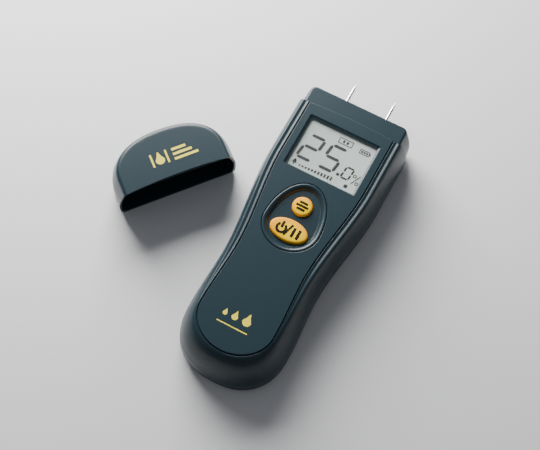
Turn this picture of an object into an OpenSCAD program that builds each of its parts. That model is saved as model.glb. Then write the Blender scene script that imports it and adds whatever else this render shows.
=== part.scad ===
// Pin-type wood moisture meter with its pull-off electrode cap lying beside it.
// Origin: centre of the back face. +X right, +Y toward the electrodes, +Z out of the display.

/* [Casing] */
// Full thickness of the meter, back face to display face
body_t = 26; // [25.5:0.5:27]
// Distance from the origin to the bottom end of the handle
low_len = 75.9; // [75:0.1:76.5]
// Distance from the origin to the shoulder that the cap seats on, at the display face
shoulder_y = 64.8; // [64:0.1:66]
// How far the shoulder leans toward the pins, per unit of depth below the face
shoulder_lean = 0.125; // [0.1:0.005:0.14]
// Half width of the casing beside the display
head_half = 30.3; // [30:0.1:31]
// Half width of the waist below the keypad
waist_half = 25; // [24:0.1:26]
// Half width of the bulge at the bottom of the handle
bulge_half = 26.6; // [25:0.1:27]
// Wall thickness of the casing mouldings
wall = 2.2; // [2:0.1:2.4]
// Height of the parting line between front and back mouldings
part_z = 5; // [4.8:0.1:5.2]

/* [Head] */
// Half width of the plug that the cap slides over
plug_half = 25.9; // [25:0.1:26]
// Distance from the origin to the end of the plug
plug_y = 75.4; // [74.5:0.1:76]
// Underside of the plug above the back face
plug_z0 = 2.8; // [2.7:0.1:3]
// Upper side of the plug above the back face
plug_z1 = 23.4; // [23:0.1:23.5]

/* [Electrodes] */
// Distance between the two electrode pins
pin_gap = 22; // [20:0.5:24]
// Sideways offset of the pair from the centre line
pin_x0 = 1.2; // [0:0.1:1.5]
// Height of the pin axes above the back face
pin_z = 10.5; // [10:0.1:11]
// Radius of the bright pin
pin_r = 0.85; // [0.7:0.05:1]
// Distance from the origin to the pin tips
pin_tip_y = 92.2; // [89:0.1:92.2]

/* [Display] */
// Width of the display window
win_w = 36; // [34:0.5:37]
// Height of the display window
win_h = 27.6; // [26:0.2:28]
// Centre of the display window above the origin
win_y = 44.4; // [44:0.1:45]

/* [Keys] */
// Centre of the round mode key
mode_y = 14; // [13.8:0.1:14.4]
// Radius of the round mode key
mode_r = 5; // [4.6:0.1:5.2]
// Centre of the oval power key
power_y = 0.2; // [0:0.1:0.4]
// Half width of the oval power key
power_a = 9.7; // [9:0.1:9.9]
// Half height of the oval power key
power_b = 5.7; // [5.2:0.1:5.8]
// Travel of both keys
key_travel = 0.5; // [0.3:0.1:0.6]

/* [Cap] */
// Depth of the cap along the pins, at the middle of its dome
cap_len = 31; // [30:0.1:31.5]
// Wall thickness of the cap
cap_wall = 1.5; // [1.4:0.1:1.6]
// Angle that the loose cap is turned beside the meter
cap_turn = 50.7; // [40:0.1:60]
// Middle of the loose cap's mouth, sideways from the origin
cap_x = -59.7; // [-62:0.1:-59]
// Middle of the loose cap's mouth, along the meter
cap_y = -0.4; // [-2:0.1:2]

/* [Hidden] */
$fn = 64;

waist_y = -18;             // narrowest place of the handle
flare_y = 36;              // above this the sides run straight
end_y = -50;               // below this the outline closes as a rounded end
end_n = 2.35;              // squareness of the rounded end
brow = 1.2;                // how far the face bows out over the plug
face_half = 26;            // half width of the level face beside the display
dome_y = 8;                // where the sides of the cap start to close into the dome
dome_n = 2.3;              // squareness of the dome
// the cap's hollow: heights with the inset of its outline at each of them
cap_hollow = [[cap_wall, 2.6], [2.6, 1.5], [4, 1.05], [9, 1], [14, 1.3], [18, 2.15], [21, 2.95],
    [23.6, 3.8], [body_t - cap_wall, 4.6]];
casing = [0.10, 0.14, 0.17];
casing_dark = [0.07, 0.09, 0.11];
yellow = [0.96, 0.80, 0.18];
steel = [0.80, 0.81, 0.83];
brass = [0.80, 0.64, 0.30];

door_top_y = -0.6;         // where the battery door meets the back casing
door_gap = 0.4;
floor_t = 1.8;             // floor thickness of the back mouldings
batt_w = 26.5;             // standard 9 V battery
batt_t = 17.5;
batt_l = 46.5;
batt_y0 = -60;             // bottom end of the battery
batt_z0 = 3.8;
rail_x = 16;               // centre of the straight door rails

pcb_t = 1.6;
pcb_z = 12.4;              // underside of the circuit board
pcb_half = 22;
pcb_y0 = -8.6;
pcb_y1 = 58.4;
pcb_top = pcb_z + pcb_t;
lens_z = 24.3;             // underside of the clear window
lens_t = 1;
lcd_t = 2.2;
lcd_z = lens_z - 0.3 - lcd_t;
key_floor_z = 23.4;        // underside of the keypad bezel floor
key_floor_t = 0.9;
key_flange_z = 22.2;       // underside of the flanges that keep the keys in
key_flange_t = 1.1;
key_top = 26.2;
switch_h = 3.4;
plunger_top = 19.4;
boss_x = 25.4;
boss_ys = [56, 26];
pcb_hole_x = 19.4;
pin_bare_y = 75.7;         // the slim part of the pin starts just outside the plug
root_r = 1.5;              // threaded root of the pin
block_z1 = 16.2;           // upper side of the electrode block
pcb_hole_ys = [-6, 24];

function clamp01(t) = max(0, min(1, t));
function ease(t) = let (u = clamp01(t)) u * u * (3 - 2 * u);

// Half width of a profile that eases from its waist to its upper and lower widths
function flow(y, up, mid, low) = mid + (up - mid) * ease((y - waist_y) / (flare_y - waist_y))
    + (low - mid) * ease((waist_y - y) / (waist_y - end_y - 2));

// Right-hand half of an outline, from beside the tip of the rounded end up to the top row
function side(up, mid, low, tip, top, n) = concat(
    [for (i = [1:9]) let (a = 90 - 9 * i)
        [low * pow(cos(a), 2 / n), end_y - (tip + end_y) * pow(sin(a), 2 / n)]],
    [for (i = [0:15]) let (y = end_y + (top - end_y) * i / 15) [flow(y, up, mid, low), y]]);
function mirrored(pts) = [for (i = [len(pts) - 1:-1:0]) [-pts[i][0], pts[i][1]]];

// Place of the leaning shoulder at height z, and the bow of its edge there
function shoulder_at(z) = shoulder_y + shoulder_lean * (body_t - z);
function bow_at(z) = brow * z / body_t;

// Shoulder edge between two side walls at x = w and x = -w, going left
function bowed_edge(w, y, bow) = [for (i = [1:7]) let (x = w * (1 - i / 4))
    [x, y + bow * max(0, 1 - pow(x / face_half, 2))]];

// Closed outline of the casing, moved inward by d and closed by the shoulder
function casing_outline(d, top, bow = 0) =
    let (k = 1.18, s = side(head_half - d, waist_half - d * k, bulge_half - d * k,
             low_len - d * 1.35, top, end_n))
    concat([[0, -low_len + d * 1.35]], s, bowed_edge(head_half - d, top, bow), mirrored(s));
function skin_rings(skin) = [for (s = skin)
    ring_at(casing_outline(s[1], shoulder_at(s[0]), bow_at(s[0])), s[0])];

// Closed egg made of two half ellipses that share one width
function egg(a, down, up) = [for (i = [0:47]) let (t = i * 7.5)
    [a * cos(t), 3 + (sin(t) > 0 ? up : down) * sin(t)]];
function ring_at(pts, z) = [for (p = pts) [p[0], p[1], z]];

// Solid through a list of equal-length rings, lowest ring first, counter-clockwise from above
module loft(rings) {
    n = len(rings[0]);
    m = len(rings);
    polyhedron(
        points = [for (r = rings) for (p = r) p],
        faces = concat(
            [[for (i = [0:n - 1]) i]],
            [for (j = [0:m - 2]) for (i = [0:n - 1]) let (a = j * n + i, b = j * n + (i + 1) % n)
                each [[a, a + n, b + n], [a, b + n, b]]],
            [[for (i = [n - 1:-1:0]) (m - 1) * n + i]]));
}

module slab(pts, z0, z1) {
    translate([0, 0, z0]) linear_extrude(z1 - z0) polygon(pts);
}

module block(x0, x1, y0, y1, z0, z1) {
    translate([x0, y0, z0]) cube([x1 - x0, y1 - y0, z1 - z0]);
}

module rod(x, y, z0, z1, r) {
    translate([x, y, z0]) cylinder(h = z1 - z0, r = r);
}

module rounded_block(x0, x1, y0, y1, z0, z1, r) {
    translate([0, 0, z0]) linear_extrude(z1 - z0) {
        translate([x0 + r, y0]) square([x1 - x0 - 2 * r, y1 - y0]);
        translate([x0, y0 + r]) square([x1 - x0, y1 - y0 - 2 * r]);
        for (x = [x0 + r, x1 - r], y = [y0 + r, y1 - r]) translate([x, y]) circle(r);
    }
}

// The plug that the cap covers, between two heights; its sides spread toward the back
plug_flare = [[plug_z0, 2.4], [4, 3], [8, 3.2], [14, 2.7], [18, 1.7], [21, 0.9], [plug_z1, 0]];
function plug_ring(z, inset) =
    let (half = plug_half + lookup(z, plug_flare) - inset, r = 2.6 - inset, y1 = plug_y - inset - r)
    ring_at(concat([[-half, shoulder_y - 12], [half, shoulder_y - 12]],
        [for (a = [0:15:90]) [half - r + r * cos(a), y1 + r * sin(a)]],
        [for (a = [90:15:180]) [-half + r + r * cos(a), y1 + r * sin(a)]]), z);
module plug(z0, z1, inset = 0) {
    levels = [for (f = plug_flare) if (f[0] > z0 + 0.1 && f[0] < z1 - 0.1) f[0]];
    loft([for (z = concat([z0], levels, [z1])) plug_ring(z, inset)]);
}

module at_pins() {
    for (s = [-1, 1]) translate([pin_x0 + s * pin_gap / 2, 0, pin_z]) children();
}

// A rod along +Y from y0 to y1, on the local axis
module along_y(y0, y1, r) {
    translate([0, y0, 0]) rotate([-90, 0, 0]) cylinder(h = y1 - y0, r = r);
}

// Heights of the front skin with the inset of its outline at each of them
front_skin = [[part_z, 0.1], [9, 0], [14, 0.3], [18, 1.1], [21, 1.9], [23.4, 2.7], [24.8, 3.3],
    [25.6, 3.9], [body_t, 4.9]];
back_skin = [[0, 2], [0.7, 1], [2.2, 0.3], [part_z - 0.25, 0.1]];

module front_casing() {
    color(casing) difference() {
        union() {
            difference() {
                union() {
                    loft(skin_rings(front_skin));
                    plug(part_z, plug_z1);
                }
                slab(casing_outline(wall + 0.5, shoulder_y - wall), part_z - 1, 17);
                slab(casing_outline(wall + 2.4, shoulder_y - wall), 16.9, 21);
                slab(casing_outline(wall + 4, shoulder_y - wall), 20.9, body_t - 2.2);
                plug(part_z - 1, plug_z1 - 1.8, 1.8);
            }
            // screw bosses and circuit board posts
            for (s = [-1, 1]) {
                for (y = boss_ys) rod(s * boss_x, y, part_z + 0.2, 19, 2.7);
                for (y = pcb_hole_ys) rod(s * pcb_hole_x, y, pcb_top, 24, 2);
            }
            // battery compartment: side walls, end walls, and the two door rails
            for (s = [-1, 1]) {
                block(s * rail_x - 0.8, s * rail_x + 0.8, batt_y0 - 2, -9.5, 3.2, 24);
                block(s * rail_x - 0.8, s * rail_x + 0.8, batt_y0 - 2, -12, 2.4, 3.3);
                block(s * rail_x - 0.8 + s * 0.6, s * rail_x + 0.8 + s * 0.6, batt_y0 - 2, -12, 2.4, 3.2);
            }
            block(-rail_x, rail_x, batt_y0 - 2, batt_y0 - 0.6, part_z + 0.2, 24);
            for (y = [-46, -28]) block(-rail_x, rail_x, y, y + 1.5, batt_z0 + batt_t + 0.1, 24);
            // ribs over the electrode block, and a thicker rim under the keypad bezel
            for (x = [-14, 14]) block(x, x + 2, 63.5, 71, block_z1 + 0.05, 22.5);
            slab(egg(16, 15, 24.6), key_floor_z - 1.2, body_t - 1);
        }
        // sloped display bezel and the window seat under it
        window_cut();
        // keypad opening with a ledge for the bezel
        slab(egg(14.6, 13.5, 23.1), key_floor_z, body_t + 1);
        slab(egg(12.4, 11.4, 20), 20, body_t);
        // groove that bounds the level face
        difference() {
            slab(face_outline(0.25), body_t - 0.6, body_t + 1);
            slab(face_outline(-0.25), body_t - 1, body_t + 2);
        }
        at_pins() along_y(plug_y - 4, plug_y + 1, root_r + 0.3);
        for (s = [-1, 1], y = boss_ys) rod(s * boss_x, y, part_z - 1, 17, 1.25);
        for (s = [-1, 1], y = pcb_hole_ys) rod(s * pcb_hole_x, y, pcb_z, 20, 0.95);
    }
}

function face_outline(d) = let (s = side(22.8 + d, 17.7 + d, 19 + d, 66.5 + d, 69, 2))
    concat([[0, -66.5 - d]], s, mirrored(s));

module window_cut() {
    frame = 1.6;
    loft([for (e = [[lens_z + lens_t - 0.05, 0], [body_t + 0.4, frame * 1.25]])
        [for (c = [[-1, -1], [1, -1], [1, 1], [-1, 1]])
            [c[0] * (win_w / 2 + e[1]), win_y + c[1] * (win_h / 2 + e[1]), e[0]]]]);
    block(-win_w / 2 - 1.5, win_w / 2 + 1.5, win_y - win_h / 2 - 1.5, win_y + win_h / 2 + 1.5,
        20, lens_z + lens_t);
}

module keypad_bezel() {
    inner = egg(11.6, 10.6, 19.2);
    color(casing_dark) difference() {
        slab(egg(14.5, 13.4, 23), key_floor_z, body_t);
        loft([ring_at(inner, key_floor_z + key_floor_t), ring_at(egg(13.4, 12.4, 21.6), body_t + 0.3)]);
        rod(0, mode_y, 20, body_t, mode_r + 0.15);
        slab(oval(power_a + 0.15, power_b + 0.15), 20, body_t);
    }
}

function oval(a, b) = [for (i = [0:47]) [a * cos(i * 7.5), power_y + b * sin(i * 7.5)]];

module mode_button() {
    color(yellow) translate([0, mode_y, 0]) rotate_extrude()
        polygon([[0, plunger_top], [1.9, plunger_top], [1.9, key_flange_z], [mode_r + 0.7, key_flange_z],
            [mode_r + 0.7, key_flange_z + key_flange_t], [mode_r, key_flange_z + key_flange_t],
            [mode_r, key_top - 1], [mode_r - 0.5, key_top - 0.4], [mode_r - 1.6, key_top - 0.1],
            [0, key_top]]);
}

module power_button() {
    color(yellow) union() {
        loft([for (s = [[key_flange_z + 0.6, 0], [key_top - 1, 0], [key_top - 0.4, 0.5],
            [key_top - 0.1, 1.6], [key_top, 3.2]]) ring_at(oval(power_a - s[1], power_b - s[1]), s[0])]);
        slab(oval(power_a + 0.7, power_b + 0.7), key_flange_z, key_flange_z + key_flange_t);
        rod(0, power_y, plunger_top, key_flange_z + 0.1, 1.9);
    }
}

// Round plunger of a tactile switch, touching the key above it
module plunger(y) {
    color(casing_dark) rod(0, y, pcb_top + 2.2, plunger_top, 1.7);
}
module mode_plunger() { plunger(mode_y); }
module power_plunger() { plunger(power_y); }

module switch_bodies() {
    color([0.25, 0.25, 0.27]) for (y = [mode_y, power_y]) difference() {
        block(-3, 3, y - 3, y + 3, pcb_top, pcb_top + switch_h);
        rod(0, y, pcb_top + 2 - key_travel, pcb_top + switch_h + 1, 1.78);
    }
}

module window_lens() {
    color([0.85, 0.90, 0.92, 0.4])
        rounded_block(-win_w / 2 - 1.4, win_w / 2 + 1.4, win_y - win_h / 2 - 1.4,
            win_y + win_h / 2 + 1.4, lens_z, lens_z + lens_t, 0.8);
}

module lcd_glass() {
    color([0.72, 0.76, 0.72])
        block(-19, 19, win_y - 15.1, win_y + 15.1, lcd_z, lcd_z + lcd_t);
}

// Open frame that carries the glass and presses the contact strips down
module lcd_holder() {
    color([0.9, 0.9, 0.88]) difference() {
        block(-20.4, 20.4, win_y - 17, win_y + 17, pcb_top, lcd_z + 1.2);
        block(-19.1, 19.1, win_y - 15.2, win_y + 15.2, lcd_z, lcd_z + 2);
        block(-17.4, 17.4, win_y - 13.6, win_y + 13.6, pcb_top - 1, lcd_z + 1);
        for (s = [-1, 1])
            block(-17, 17, win_y + s * 14.1 - 0.9, win_y + s * 14.1 + 0.9, pcb_top - 1, lcd_z + 1);
    }
}

module zebra_strips() {
    color([0.9, 0.55, 0.55]) for (s = [-1, 1])
        block(-16.8, 16.8, win_y + s * 14.1 - 0.8, win_y + s * 14.1 + 0.8, pcb_top, lcd_z);
}

module main_pcb() {
    color([0.10, 0.36, 0.18]) difference() {
        union() {
            block(-pcb_half, pcb_half, 8, pcb_y1, pcb_z, pcb_top);
            block(-pcb_hole_x - 2.2, pcb_hole_x + 2.2, pcb_y0, 8.5, pcb_z, pcb_top);
        }
        for (s = [-1, 1], y = pcb_hole_ys) rod(s * pcb_hole_x, y, pcb_z - 1, pcb_top + 1, 1.3);
    }
}

module controller_chip() {
    color([0.08, 0.08, 0.09]) block(-4, 8, 36, 48, pcb_z - 1.6, pcb_z);
}

module amplifier_chips() {
    color([0.08, 0.08, 0.09]) for (x = [-13, 3])
        block(x, x + 4, 23, 32, pcb_z - 1.5, pcb_z);
}

module crystal() {
    color(steel) rounded_block(11, 15.6, 36, 47, pcb_z - 3.4, pcb_z, 2.2);
}

module capacitors() {
    color([0.12, 0.13, 0.30]) {
        rod(14, 14, pcb_z - 5.4, pcb_z, 2.5);
        rod(-14, 14, pcb_z - 5.4, pcb_z, 2.5);
        rod(14, 4, pcb_z - 4.2, pcb_z, 2);
    }
}

// Leaded resistors lying under the board
module resistors() {
    color([0.80, 0.72, 0.50]) for (i = [0:4])
        translate([-19 + i * 3.4, 48, pcb_z - 1.25]) along_y(-3.2, 3.2, 1.2);
}

module trimmer_body() {
    color([0.12, 0.22, 0.55]) difference() {
        block(-3.4, 3.4, 11, 18, pcb_z - 3.6, pcb_z);
        rod(0, 14.5, pcb_z - 4, pcb_z - 1.6, 2.15);
    }
}

module trimmer_rotor() {
    color([0.92, 0.92, 0.90]) difference() {
        rod(0, 14.5, pcb_z - 3.9, pcb_z - 1.7, 2.08);
        block(-1.7, 1.7, 14.2, 14.8, pcb_z - 4.2, pcb_z - 3.2);
    }
}

// Insulating block that holds both electrode sockets in the plug
module electrode_block() {
    color([0.86, 0.86, 0.83]) difference() {
        block(-17, 19.4, 62, 72.2, 5.4, block_z1);
        at_pins() along_y(60, 74, 3.08);
    }
}

module electrode_sockets() {
    color(brass) at_pins() difference() {
        union() {
            along_y(60.6, 73, 3.05);
            along_y(59.8, 60.7, 3.3);
        }
        along_y(62, 74, root_r + 0.05);
    }
}

// Threaded root, slim bright shaft and a conical tip
module electrode_pins() {
    color(steel) at_pins() rotate([-90, 0, 0]) rotate_extrude()
        polygon([[0, 63], [root_r, 63], [root_r, pin_bare_y - 0.2], [pin_r, pin_bare_y],
            [pin_r, pin_tip_y - 3.4], [0.12, pin_tip_y], [0, pin_tip_y]]);
}

// Stiff wire: a short bend-free run built from rods with round ends
module wire(pts, r) {
    for (i = [0:len(pts) - 2]) {
        d = pts[i + 1] - pts[i];
        h = norm(d);
        translate(pts[i]) rotate([0, acos(d[2] / h), atan2(d[1], d[0])]) cylinder(h = h, r = r, $fn = 16);
    }
    for (i = [1:len(pts) - 2]) translate(pts[i]) sphere(r, $fn = 16);
}

module sensor_leads() {
    color([0.9, 0.9, 0.9]) for (s = [-1, 1])
        wire([[pin_x0 + s * pin_gap / 2, 59.8, pin_z], [pin_x0 + s * pin_gap / 2, 56.6, pin_z],
            [pin_x0 + s * pin_gap / 2, 56.6, pcb_z]], 0.6);
}

module battery() {
    color([0.14, 0.14, 0.15]) difference() {
        rounded_block(-batt_w / 2, batt_w / 2, batt_y0, batt_y0 + batt_l, batt_z0,
            batt_z0 + batt_t, 0.9);
        block(-batt_w / 2 - 1, batt_w / 2 + 1, batt_y0 + batt_l - 0.6, batt_y0 + batt_l + 1,
            batt_z0 - 1, batt_z0 + 0.8);
    }
}

module battery_terminals() {
    color(steel) translate([0, batt_y0 + batt_l, batt_z0 + batt_t / 2]) {
        translate([-6.35, 0, 0]) along_y(0, 2.4, 2.8);
        translate([6.35, 0, 0]) along_y(0, 2.4, 3.8);
    }
}

// Snap-on connector plate that covers both terminals
module battery_snap() {
    color(casing_dark) difference() {
        rounded_block(-12.4, 12.4, batt_y0 + batt_l + 0.1, batt_y0 + batt_l + 3.6,
            batt_z0 + 2.8, batt_z0 + batt_t - 2.8, 0.8);
        translate([0, batt_y0 + batt_l, batt_z0 + batt_t / 2]) {
            translate([-6.35, 0, 0]) along_y(-1, 2.6, 2.85);
            translate([6.35, 0, 0]) along_y(-1, 2.6, 3.85);
        }
    }
}

// Two straight runs of insulated wire from the snap connector to the board
module battery_lead(x) {
    wire([[x, batt_y0 + batt_l + 3.6, 9], [x, -5, 9], [x, -5, pcb_z]], 0.7);
}
module battery_lead_red() { color([0.75, 0.08, 0.08]) battery_lead(9.5); }
module battery_lead_black() { color([0.06, 0.06, 0.06]) battery_lead(-9.5); }

// Lower skin shared by the back casing and the battery door
module back_shell() {
    difference() {
        loft(skin_rings(back_skin));
        slab(casing_outline(wall + 0.9, shoulder_y - wall), floor_t, part_z + 1);
    }
}

module back_casing() {
    color(casing) difference() {
        union() {
            difference() {
                union() {
                    back_shell();
                    plug(plug_z0, part_z - 0.25);
                }
                plug(plug_z0 + 1.6, part_z + 1, 1.8);
                block(-40, 40, -90, door_top_y + door_gap, -1, part_z + 1);
            }
            for (s = [-1, 1], y = boss_ys) rod(s * boss_x, y, 0.9, part_z - 0.1, 3.4);
            block(-22.4, 22.4, door_top_y + door_gap, door_top_y + 3, 0.9, part_z + 1.4);
        }
        // mouth for the door's tongue
        block(-9.3, 9.3, door_top_y - 1, door_top_y + 4, 2, 3.7);
        for (s = [-1, 1], y = boss_ys) {
            rod(s * boss_x, y, -1, 2.4, 2.6);
            rod(s * boss_x, y, -1, part_z + 1, 1.5);
        }
    }
}

module battery_door() {
    color(casing) {
        difference() {
            back_shell();
            block(-40, 40, door_top_y, 90, -1, part_z + 1);
            // finger grip: five shallow bars across the door
            for (i = [0:4]) block(-9, 9, -13 - i * 2.2, -12 - i * 2.2, -1, 0.6);
        }
        // tongue under the back casing's edge
        block(-9, 9, door_top_y - 3, door_top_y + 2.8, 2.3, 3.4);
        block(-9, 9, door_top_y - 3, door_top_y - 1, 1.7, 2.4);
        // guides that run outside the two rails, with lips over the feet of the rails
        for (s = [-1, 1]) {
            block(s * (rail_x + 2.6) - 0.7, s * (rail_x + 2.6) + 0.7, -58, -12, 1.7, 4.4);
            block(s * (rail_x + 1.5) - 0.4, s * (rail_x + 1.5) + 0.5, -58, -12, 3.55, 4.4);
        }
    }
}

module door_pad() {
    color([0.15, 0.15, 0.16]) block(-10, 10, -50, -20, floor_t, batt_z0 - 0.2);
}

module case_screws() {
    color(steel) for (s = [-1, 1], y = boss_ys) difference() {
        union() {
            rod(s * boss_x, y, 0.6, 2.4, 2.4);
            rod(s * boss_x, y, 2.3, 14, 1.24);
        }
        block(s * boss_x - 1.5, s * boss_x + 1.5, y - 0.3, y + 0.3, 0, 1.4);
        block(s * boss_x - 0.3, s * boss_x + 0.3, y - 1.5, y + 1.5, 0, 1.4);
    }
}

module pcb_screws() {
    color(steel) for (s = [-1, 1], y = pcb_hole_ys) {
        rod(s * pcb_hole_x, y, pcb_z - 1.3, pcb_z, 1.9);
        rod(s * pcb_hole_x, y, pcb_z - 0.1, 19, 0.94);
    }
}

// Outline of the cap, moved inward by d on its sides and dome, with its mouth at y = mouth
function cap_side(d, mouth) = let (b = cap_len - dome_y - d * 1.2, h = head_half - d)
    concat([[h, mouth], [h, dome_y]],
        [for (i = [1:13]) let (a = 90 * i / 14)
            [h * pow(cos(a), 2 / dome_n), dome_y + b * pow(sin(a), 2 / dome_n)]]);
function cap_outline(d, mouth) = let (s = cap_side(d, mouth))
    concat(s, [[0, cap_len - d * 1.2]], mirrored(s));

// The cap as it lies, mouth at local y = 0 and dome toward local +y
module protective_cap() {
    color(casing) translate([cap_x, cap_y, 0]) rotate([0, 0, cap_turn]) difference() {
        loft([for (s = concat([for (b = back_skin) if (b[0] < part_z - 1) b], front_skin))
            ring_at(cap_outline(s[1], shoulder_lean * (body_t - s[0])), s[0])]);
        difference() {
            loft([for (c = cap_hollow) ring_at(cap_outline(c[1], -1), c[0])]);
            // low ribs that grip the back of the plug
            for (x = [-15, 15]) block(x - 0.6, x + 0.6, 4, 22, 0, cap_wall + 0.8);
        }
        // the front lip bows in, to meet the bowed edge of the face
        slab([for (i = [-13:13]) let (x = i * face_half / 13)
            [x, abs(i) == 13 ? -1 : (brow + 0.2) * (1 - pow(x / face_half, 2))]], 22, body_t + 1);
    }
}

front_casing();
keypad_bezel();
mode_button();
mode_plunger();
power_button();
power_plunger();
switch_bodies();
window_lens();
lcd_glass();
lcd_holder();
zebra_strips();
main_pcb();
controller_chip();
amplifier_chips();
crystal();
capacitors();
resistors();
trimmer_body();
trimmer_rotor();
electrode_block();
electrode_sockets();
electrode_pins();
sensor_leads();
battery();
battery_terminals();
battery_snap();
battery_lead_red();
battery_lead_black();
back_casing();
battery_door();
door_pad();
case_screws();
pcb_screws();
protective_cap();
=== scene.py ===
import math

import bmesh
import bpy
import numpy as np
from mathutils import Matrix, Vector


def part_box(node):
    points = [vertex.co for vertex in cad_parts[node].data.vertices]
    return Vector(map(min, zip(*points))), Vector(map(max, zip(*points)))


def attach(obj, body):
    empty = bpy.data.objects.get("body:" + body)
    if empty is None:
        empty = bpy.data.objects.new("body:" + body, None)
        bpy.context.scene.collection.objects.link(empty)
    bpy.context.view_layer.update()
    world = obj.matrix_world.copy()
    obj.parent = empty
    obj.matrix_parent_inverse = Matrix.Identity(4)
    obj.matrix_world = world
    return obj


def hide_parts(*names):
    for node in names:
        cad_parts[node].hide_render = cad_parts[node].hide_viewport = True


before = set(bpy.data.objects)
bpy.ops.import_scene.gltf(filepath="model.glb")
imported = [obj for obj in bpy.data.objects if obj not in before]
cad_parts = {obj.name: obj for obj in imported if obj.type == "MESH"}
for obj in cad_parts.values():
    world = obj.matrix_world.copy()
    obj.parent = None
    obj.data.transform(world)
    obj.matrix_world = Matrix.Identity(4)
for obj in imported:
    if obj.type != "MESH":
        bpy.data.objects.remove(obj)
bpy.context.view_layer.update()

bl_info = {
    "name": "Moisture Meter Maker",
    "version": (1, 0, 0),
    "blender": (4, 5, 0),
    "location": "View3D > Sidebar > Moisture Meter",
    "description": "Builds the shells, keys, display, cap and finishes of a two-pin moisture meter",
    "category": "Add Mesh",
}

MM = 0.001
WAIST_Y, FLARE_Y, END_Y = -18.0, 36.0, -50.0
FACE_Z = 26.0
PART_FRONT, PART_BACK = 5.0, 4.75
SHOULDER_Y, LEAN, BROW, BROW_HALF = 64.8, 0.125, 1.2, 26.0
PLUG_HALF, PLUG_END = 25.9, 75.4
PAST_SHOULDER = 70.0
# height and how much wider the plug is there
PLUG_FLARE = np.array([(2.8, 2.4), (4, 3), (6, 3.2), (8, 3.2), (11, 3.05), (14, 2.65), (16, 2.2), (18, 1.7),
                       (21, .9), (23.4, 0)])
# outline widths: upper, waist, bulge, distance to the rounded tip, squareness of the tip
OUTER = (30.3, 25.0, 26.6, 75.9, 2.35)
FACE = (22.8, 17.7, 19.0, 66.5, 2.0)
EGG_Y = 3.0
LENS_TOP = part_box("window_lens")[1].z / MM
LCD_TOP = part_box("lcd_glass")[1].z / MM
KEY_FLANGE = 22.2
PLUNGER_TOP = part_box("mode_plunger")[1].z / MM


# ---------------------------------------------------------------- shapes as arrays

def ease(t):
    """Smooth step: 3 t squared minus 2 t cubed, with t held between 0 and 1."""
    u = np.clip(t, 0.0, 1.0)
    return u * u * (3.0 - 2.0 * u)


def through(points, per=6):
    """Catmull-Rom curve through the given rows of numbers, with 'per' steps between rows."""
    p = np.asarray(points, float)
    p = np.vstack([2 * p[0] - p[1], p, 2 * p[-1] - p[-2]])
    t = np.arange(per)[:, None] / per
    a, b, c, d = (p[None, i:len(p) - 3 + i] for i in range(4))
    t = t[:, None, :] if t.ndim == 2 else t
    q = 0.5 * (2 * b + (c - a) * t + (2 * a - 5 * b + 4 * c - d) * t ** 2
               + (3 * b - a - 3 * c + d) * t ** 3)
    q = np.transpose(q, (1, 0, 2)).reshape(-1, p.shape[1])
    return np.vstack([q, p[-2]])


def flow(y, up, mid, low):
    """Half width along the meter: eases from the waist up to 'up' and down to 'low'."""
    return (mid + (up - mid) * ease((y - WAIST_Y) / (FLARE_Y - WAIST_Y))
            + (low - mid) * ease((WAIST_Y - y) / (WAIST_Y - END_Y - 2)))


def half_outline(widths, top, rows=64, tip_steps=26):
    """Right half of the outline from the tip to the shoulder: a superellipse quarter, then
    rows of half widths that follow flow()."""
    up, mid, low, tip, n = widths
    a = np.linspace(math.pi / 2, 0, tip_steps, endpoint=False)
    end = np.stack([low * np.maximum(np.cos(a), 1e-9) ** (2 / n),
                    END_Y - (tip + END_Y) * np.sin(a) ** (2 / n)], 1)
    end[0, 0] = 0.0
    y = END_Y + (top - END_Y) * np.linspace(0, 1, rows)
    return np.vstack([end, np.stack([flow(y, up, mid, low), y], 1)])


def both_sides(half):
    """Open outline from the right shoulder round the tip to the left shoulder."""
    left = half[1:] * [-1, 1]
    return np.vstack([half[::-1], left])


def bow(x, z):
    """How far the shoulder bulges toward the pins at x: a parabola that fades with depth."""
    return BROW * z / FACE_Z * np.maximum(0, 1 - (x / BROW_HALF) ** 2)


def casing_grid(profile):
    """Grid of points (steps along the outline, steps along the profile). Each profile row is
    (t, z): t blends the outer outline into the face outline, z is the height."""
    outer = both_sides(half_outline(OUTER, PAST_SHOULDER))
    face = both_sides(half_outline(FACE, PAST_SHOULDER))
    t, z = profile(outer[:, 1])
    xy = outer[:, None, :] * (1 - t[..., None]) + face[:, None, :] * t[..., None]
    return np.concatenate([xy, z[..., None]], -1)


GROOVE = [(.95, 25.84), (.975, 25.35), (1.0, 25.2), (1.02, 25.35), (1.035, 25.85), (1.06, 26.0), (1.12, 26.0)]
FRONT_UPPER = [(.03, 5.0), (.01, 5.35), (0, 6.2), (0, 9.5), (.02, 13), (.08, 16), (.17, 19), (.26, 21.5),
               (.345, 23.4), (.42, 24.6), (.49, 25.35), (.57, 25.68), (.66, 25.62), (.77, 25.45),
               (.86, 25.6), (.915, 25.88)] + GROOVE
FRONT_LOWER = [(.03, 5.0), (.01, 5.35), (.01, 6.2), (.05, 9.5), (.13, 12.5), (.21, 15.2), (.31, 17.8),
               (.43, 20.3), (.55, 22.3), (.66, 23.7), (.75, 24.65), (.82, 25.2), (.87, 25.55),
               (.90, 25.7), (.92, 25.78), (.935, 25.83)] + GROOVE
BACK = [(.03, 4.75), (.012, 4.4), (.012, 3.6), (.03, 2.5), (.07, 1.4), (.13, .6), (.20, .15),
        (.28, 0), (.34, 0)]


def front_profile(y):
    """Profile of the front moulding at each y: a ridged rim beside the display that eases into
    one large fillet at the bottom end."""
    up, low = through(FRONT_UPPER, 5), through(FRONT_LOWER, 5)
    w = ease((y + 62.0) / 62.0)[:, None]
    return up[:, 0] * w + low[:, 0] * (1 - w), np.minimum(up[:, 1] * w + low[:, 1] * (1 - w), FACE_Z)


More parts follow.
